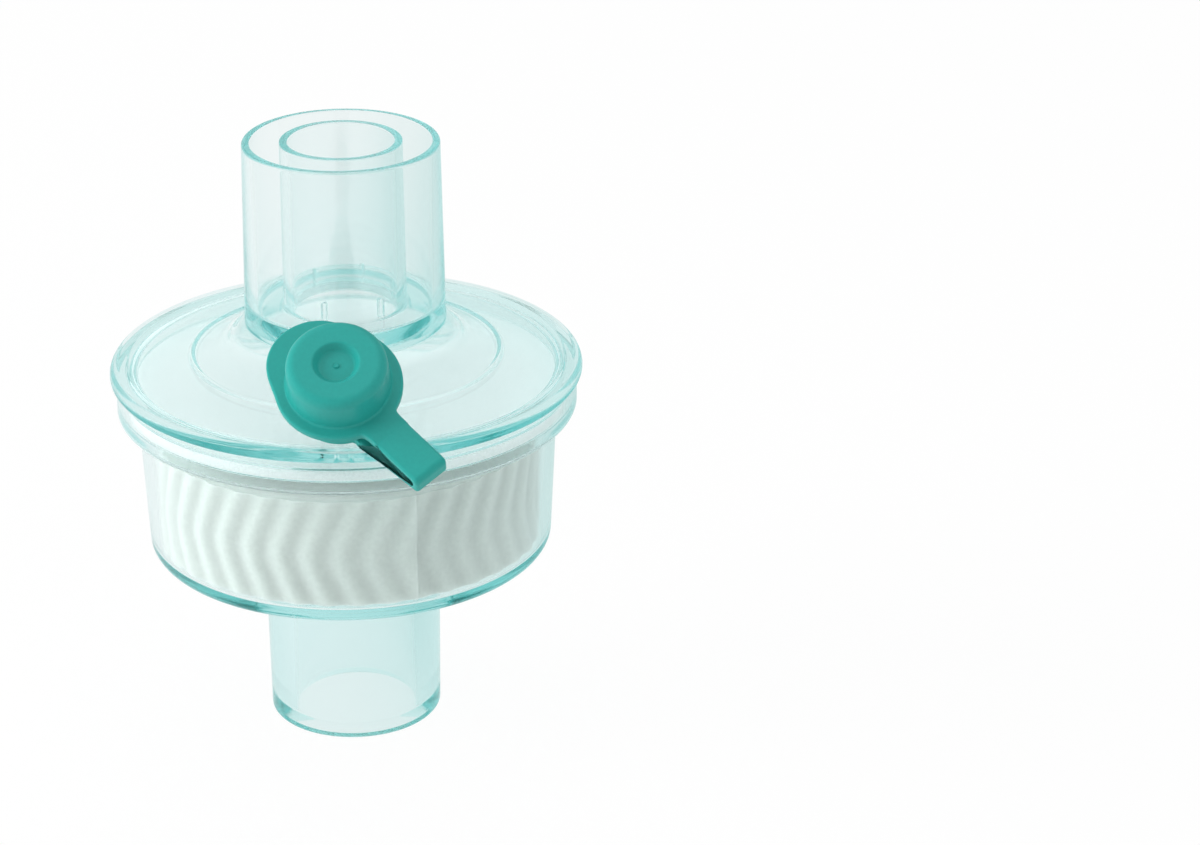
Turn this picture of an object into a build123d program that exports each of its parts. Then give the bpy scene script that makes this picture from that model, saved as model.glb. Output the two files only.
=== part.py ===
from build123d import *
import os
from math import cos, degrees, radians, sin, tan

os.makedirs("parts", exist_ok=True)

# Breathing circuit filter with heat and moisture exchanger. Millimetres, +Z up along both ports.
# The origin is the centre of the lower port's end face, and the sampling port leans towards -Y.

# Conical connectors: the radius grows by this much for each unit of depth from the tip
cone_slope = 1 / 80
gauge_land = 5.0
male22_r = 11.185
male22_depth = 15.0
female15_r = 7.70
female15_depth = 10.0
female22_r = 11.15
female22_depth = 10.0
male15_r = 7.735
male15_depth = 15.0

# Heights of the main levels
floor_z = 21.6
corner_z = 24.4
seat_z = 26.2
ledge_z = 44.4
seam_z = 47.6
lid_top_z = 49.0
tube_foot_z = 54.6
annulus_z = 56.5
total_z = 77.7

# Cup
wall = 1.2
cup_top_r = 26.5
cup_draft = 0.85
flange_width = 2.5
flange_wall = 1.35
ledge_thick = 1.4
floor_thick = 1.3
corner_chamfer = 0.8
mouth_chamfer_r = 8.82
mouth_chamfer_depth = 1.3

# Ribs and crown that hold the roll off the cup's floor
rib_count = 6
rib_thick = 0.9
rib_inner_r = 9.6
rib_outer_r = 19.5
rib_swirl = 26.0
rib_bow = 0.36
crown_r = 9.6
crown_wall = 1.0
crown_gap = 0.7
crown_windows = 10
window_width = 2.2

# Membrane and roll
membrane_thick = 1.4
membrane_clearance = 0.25
roll_height = 14.0
roll_clearance = 0.1
flute_count = 40
flute_depth = 1.1
flute_slant = 22.0
kink_level = 0.47

# Lid
rim_overhang = 0.7
rim_chamfer = 0.6
bead_width = 2.3
bead_slope = 0.5
spigot_width = 1.2
spigot_clearance = 0.15
disc_edge_z = 48.55
ridge_r = 19.45
ridge_z = 50.0
ridge_width = 0.9
ridge_height = 0.22
neck_r = 14.6
neck_z = 51.9
neck_fillet = 4.5
disc_thick = 1.3
tube_top_r = 12.2
tube_foot_r = 12.6
foot_step_width = 0.25
foot_step_height = 0.2
inner_bore_r = 6.6
annulus_floor = 1.3
stop_count = 6
stop_depth = 0.55
stop_thick = 0.7
stop_height = 2.4
stop_turn = -17.0

# Sampling port: a luer socket on the lid, leaning out from the filter's axis
luer_lean = 35.0
luer_x = 1.2
luer_inset = 7.5
luer_foot_z = 49.5
luer_root = 3.0
luer_height = 11.3
luer_r = 3.5
luer_lip_r = 3.9
luer_lip = 1.1
luer_mouth_r = 2.15
luer_slope = 0.03
luer_bore_depth = 8.5
luer_hole_r = 1.1
luer_hole_depth = 4.0

# Cap, its flange and its pull tab
cap_seat = 9.3
cap_base_r = 6.2
cap_top_r = 5.95
cap_height = 4.6
cap_chamfer = 0.5
dimple_r = 2.75
dimple_floor_r = 2.15
dimple_depth = 0.9
gate_r = 0.28
gate_height = 0.2
flange_disc_r = 7.6
flange_thick = 1.1
tab_reach = 9.85
tab_r = 6.1
notch_fillet = 1.4
cavity_clearance = 0.12
cavity_roof = 0.25
plug_clearance = 0.06
plug_length = 2.8

# Strap and neck ring
strap_angle = -46.5
strap_width = 4.7
strap_thick = 1.1
strap_root = 9.6
strap_reach = 16.5
fold_gap = 0.45
fold_facet = 0.8
fold_round = 0.55
fold_lean = 0.2
ring_r = 5.5
ring_thick = 1.3
ring_root = 6.2
ring_clearance = 0.06
ring_drop = 2.7

# Small edges are broken by this much, and cuts run past the face they open
edge_break = 0.3
past = 1.0


def cone_r(gauge_r, gauge_depth, depth, sign=1):
    """Radius of a conical connector at a depth, with a straight land at its gauge depth."""
    start = gauge_depth - gauge_land / 2
    end = gauge_depth + gauge_land / 2
    if depth < start:
        return gauge_r - sign * (start - depth) * cone_slope
    if depth > end:
        return gauge_r + sign * (depth - end) * cone_slope
    return gauge_r


def cone_points(gauge_r, gauge_depth, depths, sign=1, tip_z=0, step=1):
    """Profile points (radius, height) of a conical connector at depths from its tip."""
    return [(cone_r(gauge_r, gauge_depth, d, sign), tip_z + step * d) for d in depths]


def corners(sketch, *places):
    """The corners of a sketch nearest to the given places."""
    return [sketch.vertices().sort_by_distance((x, y, 0))[0] for x, y in places]


def notches(sketch, r):
    """The corners where other shapes meet a circle about the origin, which itself starts on the X axis."""
    return [v for v in sketch.vertices() if abs(Vector(v.X, v.Y).length - r) < 0.01 < abs(v.Y)]


# Derived places
port_r = cone_r(male22_r, male22_depth, floor_z)
cup_corner_r = cup_top_r - cup_draft
flange_r = cup_top_r + flange_width
rim_r = flange_r + rim_overhang
luer_foot_y = luer_inset - rim_r
inside_corner_r = cup_corner_r - wall
inside_top_r = cup_top_r - wall
pocket_r = flange_r - flange_wall
spigot_r = pocket_r - spigot_clearance
membrane_r = pocket_r - membrane_clearance
membrane_top_z = ledge_z + membrane_thick
shelf_z = ledge_z - ledge_thick
wall_slope = (cup_top_r - cup_corner_r) / (shelf_z - corner_z)
roll_r = inside_corner_r + (seat_z - corner_z) * wall_slope - roll_clearance
disc_edge_r = rim_r - bead_width - bead_slope
annulus_depth = total_z - annulus_z
half_land = gauge_land / 2


def floor_inside(r):
    """Height of the cup floor's inner surface at a radius."""
    share = (r - port_r) / (cup_corner_r - port_r)
    return floor_z + floor_thick + share * (corner_z - floor_z)


def lid_outside(r):
    """Height of the lid's outer surface at a radius: a shallow slope, steeper inside the ridge."""
    if r > ridge_r:
        return disc_edge_z + (disc_edge_r - r) / (disc_edge_r - ridge_r) * (ridge_z - disc_edge_z)
    return ridge_z + (ridge_r - r) / (ridge_r - neck_r) * (neck_z - ridge_z)


# The space inside the cup, which the ribs and the crown stand in
with BuildPart() as cup_core:
    with BuildSketch(Plane.XZ) as core_section:
        Polygon(
            (0, -past),
            (mouth_chamfer_r, -past),
            (mouth_chamfer_r, 0),
            *cone_points(
                female15_r,
                female15_depth,
                (mouth_chamfer_depth, female15_depth - half_land, female15_depth + half_land, floor_z),
                -1,
            ),
            (crown_r - crown_wall - crown_gap, floor_inside(crown_r)),
            (inside_corner_r, floor_inside(cup_corner_r)),
            (inside_top_r, ledge_z),
            (pocket_r, ledge_z),
            (pocket_r, seam_z + past),
            (0, seam_z + past),
            align=None,
        )
        chamfer(
            corners(core_section.sketch_local, (inside_corner_r, floor_inside(cup_corner_r))),
            edge_break,
        )
    revolve(axis=Axis.Z)
    # Curved ribs, swept round as they run outwards
    with BuildSketch(Plane.XY.offset(seat_z)) as ribs:
        for turn in range(rib_count):
            start = turn * 360 / rib_count
            inner = Vector(rib_inner_r, 0).rotate(Axis.Z, start)
            middle = Vector((rib_inner_r + rib_outer_r) / 2, 0).rotate(Axis.Z, start + rib_swirl * rib_bow)
            outer = Vector(rib_outer_r, 0).rotate(Axis.Z, start + rib_swirl)
            with BuildLine(mode=Mode.PRIVATE) as rib_line:
                ThreePointArc(inner, middle, outer)
            SlotArc(rib_line.edges()[0], rib_thick)
    extrude(amount=-(seat_z - floor_z), mode=Mode.SUBTRACT)
    # Crown: a ring of short vanes round the bore's inner end
    with BuildSketch(Plane.XY.offset(seat_z)) as crown:
        Circle(crown_r)
        Circle(crown_r - crown_wall, mode=Mode.SUBTRACT)
        with PolarLocations(crown_r - crown_wall / 2, crown_windows, start_angle=180 / crown_windows):
            Rectangle(2 * crown_wall, window_width, mode=Mode.SUBTRACT)
    extrude(amount=-(seat_z - floor_z), mode=Mode.SUBTRACT)

# Lower housing: flanged cup and port, moulded in one
with BuildPart() as lower_housing:
    with BuildSketch(Plane.XZ) as cup_section:
        Polygon(
            (0, 0),
            *cone_points(
                male22_r,
                male22_depth,
                (0, male22_depth - half_land, male22_depth + half_land, floor_z),
            ),
            (cup_corner_r, corner_z),
            (cup_top_r, shelf_z),
            (flange_r, shelf_z),
            (flange_r, seam_z),
            (0, seam_z),
            align=None,
        )
        chamfer(
            corners(cup_section.sketch_local, (port_r, floor_z), (cup_corner_r, corner_z)),
            corner_chamfer,
        )
        chamfer(
            corners(
                cup_section.sketch_local,
                (cone_r(male22_r, male22_depth, 0), 0),
                (cup_top_r, shelf_z),
                (flange_r, shelf_z),
            ),
            edge_break,
        )
    revolve(axis=Axis.Z)
    add(cup_core.part, mode=Mode.SUBTRACT)

# Filter membrane, clamped round its edge between the cup's ledge and the lid's spigot
with BuildPart() as filter_membrane:
    with BuildSketch(Plane.XY.offset(ledge_z)):
        Circle(membrane_r)
    extrude(amount=membrane_thick)

# Corrugated roll: the flutes slant one way up to the kink and back again above it
with BuildPart() as hme_roll:
    full_turn = degrees(roll_height * tan(radians(flute_slant)) / roll_r)
    for level in (0, kink_level, 1):
        turn = abs(level - kink_level) * full_turn
        with BuildSketch(Plane.XY.offset(seat_z + level * roll_height)):
            flutes = [
                Vector(r, 0).rotate(Axis.Z, turn + (flute + part) * 360 / flute_count)
                for flute in range(flute_count)
                for r, part in ((roll_r, 0), (roll_r - flute_depth, 0.5))
            ]
            Polygon(*flutes, align=None)
    loft(ruled=True)

# The space under the lid, from the membrane to the mouth of the inner tube
with BuildPart() as lid_core:
    with BuildSketch(Plane.XZ) as lid_core_section:
        Polygon(
            (0, membrane_top_z - past),
            (spigot_r - spigot_width, membrane_top_z - past),
            (spigot_r - spigot_width, disc_edge_z - disc_thick),
            (ridge_r, ridge_z - disc_thick),
            (neck_r, neck_z - disc_thick),
            (tube_foot_r - disc_thick, tube_foot_z - disc_thick),
            (inner_bore_r, annulus_z - annulus_floor),
            (inner_bore_r, total_z + past),
            (0, total_z + past),
            align=None,
        )
    revolve(axis=Axis.Z)
    # Short stop ribs inside the foot of the inner tube
    with BuildSketch(Plane.XY.offset(annulus_z + stop_height)):
        with PolarLocations(inner_bore_r, stop_count, start_angle=stop_turn - 90):
            Rectangle(2 * stop_depth, stop_thick)
    extrude(amount=-stop_height, mode=Mode.SUBTRACT)

# Sampling port's frame: its axis leaves the lid's surface and leans out towards -Y
luer_axis = Vector(0, -sin(radians(luer_lean)), cos(radians(luer_lean)))
luer_foot = Vector(luer_x, luer_foot_y, luer_foot_z)
luer_plane = Plane(origin=luer_foot, x_dir=(1, 0, 0), z_dir=luer_axis)
luer_section = Plane(origin=luer_foot, x_dir=(1, 0, 0), z_dir=luer_plane.y_dir * -1)

# Luer bore and the small hole that opens it to the space under the lid
with BuildPart() as luer_core:
    with BuildSketch(luer_section):
        Polygon(
            (0, -luer_hole_depth),
            (luer_hole_r, -luer_hole_depth),
            (luer_hole_r, luer_height - luer_bore_depth),
            (luer_mouth_r - luer_bore_depth * luer_slope, luer_height - luer_bore_depth),
            (luer_mouth_r, luer_height),
            (luer_mouth_r, luer_height + past),
            (0, luer_height + past),
            align=None,
        )
    revolve(axis=Axis(luer_foot, luer_axis))

# Upper housing: lid, coaxial port and sampling port, moulded in one
with BuildPart() as upper_housing:
    with BuildSketch(Plane.XZ) as lid_section:
        Polygon(
            (0, membrane_top_z),
            (spigot_r, membrane_top_z),
            (spigot_r, seam_z),
            (rim_r, seam_z),
            (rim_r, lid_top_z),
            (rim_r - bead_width, lid_top_z),
            (disc_edge_r, disc_edge_z),
            (ridge_r + ridge_width / 2, lid_outside(ridge_r + ridge_width / 2)),
            (ridge_r + ridge_width / 4, ridge_z + ridge_height),
            (ridge_r - ridge_width / 4, ridge_z + ridge_height),
            (ridge_r - ridge_width / 2, lid_outside(ridge_r - ridge_width / 2)),
            (neck_r, neck_z),
            (tube_foot_r + foot_step_width, tube_foot_z - foot_step_height),
            (tube_foot_r, tube_foot_z),
            (tube_top_r, total_z),
            (0, total_z),
            align=None,
        )
        fillet(corners(lid_section.sketch_local, (neck_r, neck_z)), neck_fillet)
        chamfer(corners(lid_section.sketch_local, (rim_r, lid_top_z)), rim_chamfer)
        chamfer(corners(lid_section.sketch_local, (rim_r, seam_z), (tube_top_r, total_z)), edge_break)
    revolve(axis=Axis.Z)
    # Sampling port's neck, with the lip that the cap snaps over
    with BuildSketch(luer_plane.offset(-luer_root)):
        Circle(luer_r)
    extrude(amount=luer_height + luer_root)
    with BuildSketch(luer_plane.offset(luer_height - luer_lip)):
        Circle(luer_lip_r)
    extrude(amount=luer_lip)
    # Ring space between the two tubes
    with BuildSketch(Plane.XZ) as annulus_section:
        Polygon(
            *cone_points(
                male15_r,
                male15_depth,
                (0, male15_depth - half_land, male15_depth + half_land, annulus_depth),
                tip_z=total_z,
                step=-1,
            ),
            *cone_points(
                female22_r,
                female22_depth,
                (annulus_depth, female22_depth + half_land, female22_depth - half_land, 0),
                sign=-1,
                tip_z=total_z,
                step=-1,
            ),
            align=None,
        )
        chamfer(
            corners(
                annulus_section.sketch_local,
                (cone_r(male15_r, male15_depth, annulus_depth), annulus_z),
                (cone_r(female22_r, female22_depth, annulus_depth, -1), annulus_z),
            ),
            edge_break,
        )
    revolve(axis=Axis.Z, mode=Mode.SUBTRACT)
    add(lid_core.part, mode=Mode.SUBTRACT)
    add(luer_core.part, mode=Mode.SUBTRACT)

# Cap with its flange and pull tab. Heights here are measured from the flange's top face.
cap_plane = luer_plane.offset(cap_seat)
cap_section = Plane(origin=cap_plane.origin, x_dir=(1, 0, 0), z_dir=luer_plane.y_dir * -1)
mouth_h = luer_height - cap_seat
roof_h = mouth_h + cavity_roof
cavity_r = luer_lip_r + cavity_clearance
plug_r = luer_mouth_r - plug_clearance
strap_dir = Vector(1, 0).rotate(Axis.Z, strap_angle)

with BuildPart() as luer_cap:
    with BuildSketch(cap_section) as cap_outline:
        Polygon(
            (0, -flange_thick),
            (flange_disc_r, -flange_thick),
            (flange_disc_r, 0),
            (cap_base_r, 0),
            (cap_top_r, cap_height),
            (dimple_r, cap_height),
            (dimple_floor_r, cap_height - dimple_depth),
            (gate_r, cap_height - dimple_depth),
            (gate_r, cap_height - dimple_depth + gate_height),
            (0, cap_height - dimple_depth + gate_height),
            align=None,
        )
        chamfer(corners(cap_outline.sketch_local, (cap_top_r, cap_height)), cap_chamfer)
        chamfer(corners(cap_outline.sketch_local, (cap_base_r, 0)), edge_break)
    revolve(axis=Axis(cap_plane.origin, luer_axis))
    # Pull tab on one side of the flange and the strap's root on the other
    with BuildSketch(cap_plane) as tab:
        Circle(flange_disc_r)
        with Locations(strap_dir * -(tab_reach - tab_r)):
            Circle(tab_r)
        with Locations(Location(strap_dir * (strap_root / 2), strap_angle)):
            Rectangle(strap_root, strap_width)
        fillet(notches(tab.sketch_local, flange_disc_r), notch_fillet)
    extrude(amount=-flange_thick)
    # Cavity for the port's lip, and the plug that closes its bore
    with BuildSketch(cap_section):
        Polygon(
            (plug_r, roof_h),
            (cavity_r, roof_h),
            (cavity_r, -flange_thick),
            (0, -flange_thick),
            (0, roof_h - plug_length),
            (plug_r - plug_length * luer_slope, roof_h - plug_length),
            align=None,
        )
    revolve(axis=Axis(cap_plane.origin, luer_axis), mode=Mode.SUBTRACT)

# Ring that turns on the port's neck, with the root of the strap's lower end
ring_plane = cap_plane.offset(-flange_thick - ring_drop)
with BuildPart() as neck_ring:
    with BuildSketch(ring_plane):
        Circle(ring_r)
        with Locations(Location(strap_dir * (ring_root / 2), strap_angle)):
            Rectangle(ring_root, strap_width)
        Circle(luer_r + ring_clearance, mode=Mode.SUBTRACT)
    extrude(amount=-ring_thick)

# Strap, folded back on itself between the cap's flange and the neck ring
strap_side = Plane(
    origin=cap_plane.origin,
    x_dir=cap_plane.x_dir * cos(radians(strap_angle)) + cap_plane.y_dir * sin(radians(strap_angle)),
    z_dir=cap_plane.x_dir * sin(radians(strap_angle)) - cap_plane.y_dir * cos(radians(strap_angle)),
)
with BuildPart() as cap_strap:
    fold_height = 2 * strap_thick + fold_gap
    ring_top = -flange_thick - ring_drop
    with BuildSketch(strap_side) as fold:
        Polygon(
            (strap_root, 0),
            (strap_reach, 0),
            (strap_reach, -fold_height),
            (strap_reach - fold_facet, -fold_height),
            (ring_root, ring_top - ring_thick),
            (ring_root, ring_top),
            (strap_reach - strap_thick - fold_lean, -strap_thick - fold_gap),
            (strap_reach - strap_thick, -strap_thick),
            (strap_root, -strap_thick),
            align=None,
        )
        fillet(corners(fold.sketch_local, (strap_reach, 0), (strap_reach, -fold_height)), fold_round)
    extrude(amount=strap_width / 2, both=True)

for name, piece in (
    ("lower_housing", lower_housing),
    ("upper_housing", upper_housing),
    ("filter_membrane", filter_membrane),
    ("hme_roll", hme_roll),
    ("luer_cap", luer_cap),
    ("cap_strap", cap_strap),
    ("neck_ring", neck_ring),
):
    piece.part.label = name
    export_step(piece.part, "parts/" + name + ".step")
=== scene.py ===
from math import cos, pi, radians, sin

import bmesh
import bpy
import numpy as np
from mathutils import Matrix, Vector


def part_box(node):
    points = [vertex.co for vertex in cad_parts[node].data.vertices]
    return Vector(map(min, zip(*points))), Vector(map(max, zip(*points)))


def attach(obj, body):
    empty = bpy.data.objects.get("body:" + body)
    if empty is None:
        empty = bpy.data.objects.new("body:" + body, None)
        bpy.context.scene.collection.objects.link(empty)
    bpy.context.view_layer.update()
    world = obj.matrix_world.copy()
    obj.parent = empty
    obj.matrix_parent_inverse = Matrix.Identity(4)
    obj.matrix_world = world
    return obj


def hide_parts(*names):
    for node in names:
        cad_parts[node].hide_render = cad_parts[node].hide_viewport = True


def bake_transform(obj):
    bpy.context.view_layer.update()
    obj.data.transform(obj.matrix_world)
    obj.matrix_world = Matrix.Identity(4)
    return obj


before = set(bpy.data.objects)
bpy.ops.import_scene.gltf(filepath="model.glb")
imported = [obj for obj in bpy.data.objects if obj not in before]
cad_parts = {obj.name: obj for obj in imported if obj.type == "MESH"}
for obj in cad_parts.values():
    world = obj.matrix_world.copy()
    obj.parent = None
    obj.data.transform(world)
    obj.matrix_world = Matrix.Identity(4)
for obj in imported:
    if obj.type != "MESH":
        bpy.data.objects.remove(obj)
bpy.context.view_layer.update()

# Lengths are in millimetres, except in the table of floor and lamps, and heights are above the table that the
# filter stands on. The mesh code turns them into metres.
# Faces that touch in the frame keep a small air gap here, so that light passes them one by one.
MM = 0.001
TURNS = 256
AIR_GAP = 0.03

# Levels and radii that the frame gives
TOTAL_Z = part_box("upper_housing")[1].z / MM
SEAM_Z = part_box("lower_housing")[1].z / MM
FLANGE_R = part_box("lower_housing")[1].x / MM
RIM_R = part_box("upper_housing")[1].x / MM
MEMBRANE_LOW_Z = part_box("filter_membrane")[0].z / MM
MEMBRANE_TOP_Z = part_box("filter_membrane")[1].z / MM
MEMBRANE_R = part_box("filter_membrane")[1].x / MM
SEAT_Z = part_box("hme_roll")[0].z / MM
ROLL_TOP_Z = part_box("hme_roll")[1].z / MM
ROLL_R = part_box("hme_roll")[1].x / MM

# Lower housing
PORT_TIP_R = 11.03
PORT_FOOT_R = 11.27
BORE_TIP_R = 7.78
BORE_END_R = 7.59
MOUTH_R = 8.82
MOUTH_DEPTH = 1.3
FLOOR_Z = 21.6
FLOOR_THICK = 1.3
CORNER_Z = 24.4
CUP_CORNER_R = 25.65
CUP_TOP_R = 26.5
WALL = 1.2
SHELF_Z = 43.0
FLANGE_WALL = 1.35
RIB_COUNT = 6
RIB_THICK = 0.9
RIB_INNER_R = 9.6
RIB_OUTER_R = 19.5
RIB_SWIRL = 26.0
RIB_BOW = 0.36
CROWN_R = 9.6
CROWN_WALL = 1.0
CROWN_VANES = 10
CROWN_GAP = 0.7
WINDOW_WIDTH = 2.2

# Upper housing
LID_TOP_Z = 49.0
BEAD_WIDTH = 2.3
BEAD_SLOPE = 0.5
DISC_EDGE_Z = 48.55
DISC_THICK = 1.3
SPIGOT_GAP = 0.15
SPIGOT_WIDTH = 1.2
RIDGE_R = 19.45
RIDGE_Z = 50.0
RIDGE_WIDTH = 0.9
RIDGE_HEIGHT = 0.22
NECK_R = 14.6
NECK_Z = 51.9
TUBE_FOOT_R = 12.6
TUBE_FOOT_Z = 54.6
TUBE_TOP_R = 12.2
SOCKET_MOUTH_R = 11.24
SOCKET_END_R = 11.03
CONE_TIP_R = 7.58
CONE_FOOT_R = 7.78
INNER_BORE_R = 6.6
ANNULUS_Z = 56.5
ANNULUS_FLOOR = 1.3
STOP_COUNT = 6
STOP_DEPTH = 0.55
STOP_THICK = 0.7
STOP_HEIGHT = 2.4
STOP_TURN = -17.0

# Sampling port: its own axis starts at a foot on the lid and leans towards -Y
SAMPLING_LEAN = radians(35.0)
SAMPLING_FOOT = np.array([1.2, -22.2, 49.5])
SAMPLING_ROOT = 3.0
SAMPLING_HEIGHT = 11.3
SAMPLING_R = 3.5
SAMPLING_LIP_R = 3.9
SAMPLING_LIP = 1.1
SAMPLING_MOUTH_R = 2.15
SAMPLING_END_R = 1.9
SAMPLING_BORE_DEPTH = 8.5
SAMPLING_HOLE_R = 1.1
SAMPLING_HOLE_END = 4.0
SAMPLING_TURNS = 96
BORE_TURNS = 72

# Cap, strap and ring, with heights above the top face of the cap's flange
CAP_SEAT = 9.3
CAP_BASE_R = 6.2
CAP_TOP_R = 5.95
CAP_HEIGHT = 4.6
CAP_ROUND = 1.15
DIMPLE_R = 2.75
DIMPLE_FLOOR_R = 2.15
DIMPLE_DEPTH = 0.9
GATE_R = 0.28
GATE_HEIGHT = 0.2
DISC_R = 7.6
DISC_THICKNESS = 1.1
TAB_REACH = 9.85
TAB_R = 6.1
CAVITY_R = 4.02
CAVITY_ROOF = 2.25
PLUG_ROOT_R = 2.09
PLUG_TIP_R = 2.0
PLUG_LENGTH = 2.8
DISC_EDGE_ROUND = 0.35
STRAP_ANGLE = radians(-46.5)
STRAP_WIDTH = 4.7
STRAP_THICK = 1.1
STRAP_ROOT = 9.6
STRAP_REACH = 16.5
FOLD_GAP = 0.45
FOLD_FACET = 0.8
FOLD_LEAN = 0.2
FOLD_ROUND = 0.75
STRAP_EDGE = 0.42
STRAP_HIDDEN = 0.6
RING_HIDDEN = 0.5
RING_R = 5.5
RING_HOLE_R = 3.56
RING_THICK = 1.3
RING_ROOT = 6.2
RING_DROP = 2.7

# Roll of corrugated paper
FLUTES = 40
FLUTE_DEPTH = 0.65
FLUTE_SLANT = 22.0
KINK_LEVEL = 0.47
KINK_SOFTNESS = 1.3
STRIP_END = radians(-66.5)
STRIP_STEP = 0.28
# Painted light and shade on the roll's paper colour: a factor for the crests, how much darker the flutes are
# painted towards their bottoms, and a lighter factor for the two ends
CREST_PAINTED_LIGHT = 1.05
FLUTE_PAINTED_SHADE = 0.22
END_PAINTED_LIGHT = 1.28

# Membrane
MEMBRANE_SAG = 0.08

# Camera
FOCAL_PIXELS = 3313.9
IMAGE_WIDTH = 1200
CAMERA_PLACE = (31.95, -385.06, 211.58)
CAMERA_PITCH = radians(24.03)
CAMERA_ROLL = radians(0.272)

# Floor, world and lamps, in metres: name, place, size and watts of each lamp
FLOOR_REACH = 3.0
FLOOR_GLOW = 0.95
# The floor's colour for gloss and glass rays, turning greener to the right: a painted reflection of a teal
# filter to the right that is not built
FLOOR_TURNS_GREEN = (-0.04, 0.06)
FLOOR_LEFT = (0.93, 0.95, 0.95, 1)
FLOOR_PAINTED_TEAL_RIGHT = (0.66, 0.80, 0.79, 1)
WORLD_LEFT = (0.92, 0.97, 0.97, 1)
WORLD_RIGHT = (0.52, 0.78, 0.76, 1)
WORLD_ON_DULL = (0.5, 0.5, 0.5, 1)
WHITE = (1, 1, 1, 1)
LAMP_AIM = (0, 0, 0.04)
LAMPS = (
    ("key_left", (-0.9, -0.15, 0.35), 0.6, 8.4),
    ("top_soft", (0.0, 0.1, 0.84), 0.6, 1.8),
    ("fill_right", (0.75, -0.55, 0.3), 0.4, 1.5),
)
BOUNCES = 24
CAUGHT_DEPTH = 11.0


# Mesh helpers

def unit(vectors):
    """Vectors of length 1 along the last axis."""
    length = np.linalg.norm(vectors, axis=-1, keepdims=True)
    return vectors / np.maximum(length, 1e-9)


def rounded(corners, closed=True, steps=7):
    """Outline with circular corners, from rows (r, z, radius). Each corner's arc has its centre on the
    corner's bisector, radius / sin(half angle) from the corner, and turns by 180 degrees less the angle."""
    rows = np.asarray(corners, float)
    point, radius = rows[:, :2], rows[:, 2:3]
    back = unit(np.roll(point, 1, 0) - point)
    ahead = unit(np.roll(point, -1, 0) - point)
    bisector = unit(back + ahead)
    side = unit(ahead - back)
    half = np.arccos(np.clip((back * bisector).sum(1, keepdims=True), -1, 1))
    centre = point + bisector * radius / np.maximum(np.sin(half), 1e-6)
    turn = (pi / 2 - half)[:, None] * np.linspace(-1, 1, steps)[None, :, None]
    outward = side[:, None] * np.sin(turn) - bisector[:, None] * np.cos(turn)
    arcs = centre[:, None] + radius[:, None] * outward
    flat = (radius < 1e-9)[:, None]
    arcs = np.where(flat, point[:, None], arcs).reshape(-1, 2)
    keep = np.linalg.norm(arcs - np.roll(arcs, 1, 0), axis=1) > 1e-4
    keep[0] = True
    arcs = arcs[keep]
    return supported(arcs, closed)


def supported(outline, closed, near=0.15, long=0.8):
    """The outline with two more points on each long straight stretch, a short way in from its ends, so
    that smooth shading changes only there."""
    ahead = np.roll(outline, -1, 0)
    length = np.linalg.norm(ahead - outline, axis=1)
    share = np.minimum(near / np.maximum(length, 1e-9), 0.3)[:, None]
    points = np.stack([outline, outline + (ahead - outline) * share, ahead - (ahead - outline) * share], 1)
    wanted = np.stack([length > -1, length > long, length > long], 1)
    if not closed:
        wanted[-1, 1:] = False
    return points[wanted]


def divided(outline, longest):
    """The closed outline with each of its runs cut into equal parts that are no longer than longest."""
    ahead = np.roll(outline, -1, 0) - outline
    parts = np.maximum(np.ceil(np.linalg.norm(ahead, axis=1) / longest), 1).astype(int)
    start = np.repeat(np.arange(len(outline)), parts)
    order = np.arange(parts.sum()) - np.repeat(np.cumsum(parts) - parts, parts)
    return outline[start] + ahead[start] * (order / parts[start])[:, None]


def turned(outline, steps=TURNS):
    """Surface of revolution: (r cos a, r sin a, z) for each angle a round the axis and outline point."""
    angle = np.linspace(0, 2 * pi, steps, endpoint=False)[:, None]
    r, z = outline[None, :, 0], outline[None, :, 1]
    return np.stack([r * np.cos(angle), r * np.sin(angle), z + 0 * angle], -1)


def quads(rows, columns, wrap_rows, wrap_columns):
    """Corner numbers of the quads of a grid, with its last row or column joined to its first if wrapped."""
    index = np.arange(rows * columns).reshape(rows, columns)
    if wrap_rows:
        index = np.concatenate([index, index[:1]], 0)
    if wrap_columns:
        index = np.concatenate([index, index[:, :1]], 1)
    return np.stack([index[:-1, :-1], index[1:, :-1], index[1:, 1:], index[:-1, 1:]], -1).reshape(-1, 4)


def new_object(name, mesh):
    """An object at the origin with that mesh, lamp or camera."""
    thing = bpy.data.objects.new(name, mesh)
    bpy.context.scene.collection.objects.link(thing)
    return thing


def solid(name, grids, wrap_columns=True, wrap_rows=True):
    """One object from closed grids of points in millimetres. Doubles at poles are merged and the faces are
    turned outwards."""
    points, faces, count = [], [], 0
    for grid in grids:
        rows, columns = grid.shape[:2]
        points.append(grid.reshape(-1, 3) * MM)
        faces.append(quads(rows, columns, wrap_rows, wrap_columns) + count)
        count += rows * columns
    mesh = bpy.data.meshes.new(name)
    mesh.from_pydata(np.concatenate(points), [], np.concatenate(faces).tolist())
    clean(mesh)
    return new_object(name, mesh)


def clean(mesh):
    """Merges doubles, drops what has no area and turns the faces outwards."""
    form = bmesh.new()
    form.from_mesh(mesh)
    bmesh.ops.remove_doubles(form, verts=form.verts, dist=1e-3 * MM)
    bmesh.ops.dissolve_degenerate(form, edges=form.edges, dist=1e-5 * MM)
    bmesh.ops.recalc_face_normals(form, faces=form.faces)
    form.to_mesh(mesh)
    form.free()


def combined(thing, other, operation):
    """Joins the other closed shape to thing or cuts it out, exactly. The other one is used up."""
    boolean = thing.modifiers.new("combine", "BOOLEAN")
    boolean.operation = operation
    boolean.solver = "EXACT"
    boolean.object = other
    baked(thing)
    clean(thing.data)
    bpy.data.objects.remove(other)


def baked(thing):
    """Applies thing's modifiers to its mesh."""
    depsgraph = bpy.context.evaluated_depsgraph_get()
    mesh = bpy.data.meshes.new_from_object(thing.evaluated_get(depsgraph))
    thing.modifiers.clear()
    thing.data = mesh


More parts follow.
